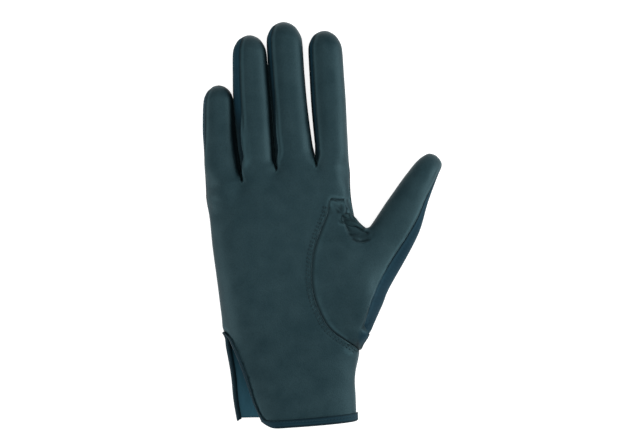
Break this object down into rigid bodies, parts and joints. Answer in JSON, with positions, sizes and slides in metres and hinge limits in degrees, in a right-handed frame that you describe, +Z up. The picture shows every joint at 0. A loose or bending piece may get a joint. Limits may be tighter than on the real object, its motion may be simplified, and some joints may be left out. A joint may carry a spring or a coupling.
{
  "type": "riding glove",
  "caption": "Right-hand leather riding glove, palm up: leather palm and set-in thumb with web gusset, stretch back and fourchettes, bound cuff vent, open wrist.",
  "frame": {"origin": "middle of the glove's outline, on the surface that its back lies on", "axes": "+Y from the cuff to the fingertips, +Z up through the palm, +X towards the thumb"},
  "size_m": [0.144, 0.2425, 0.0257],
  "materials": {
    "palm_leather": "fine-grained dark petrol leather, soft sheen",
    "thumb_leather": "fine-grained dark petrol leather, soft sheen",
    "gusset_leather": "dark leather",
    "stretch_back": "navy stretch cloth, matt",
    "stretch_strips": "navy stretch cloth, matt",
    "thumb_stretch": "navy stretch cloth, matt",
    "binding_tape": "very dark navy tape, smooth"
  },
  "bodies": {
    "root": {"palm_panel": "palm_leather", "back_panel": "stretch_back", "fourchette_little_ring": "stretch_strips", "fourchette_ring_middle": "stretch_strips", "fourchette_middle_index": "stretch_strips", "thumb_palm": "thumb_leather", "thumb_back": "thumb_stretch", "thumb_gusset": "gusset_leather", "edge_binding": "binding_tape"}
  },
  "joints": []
}
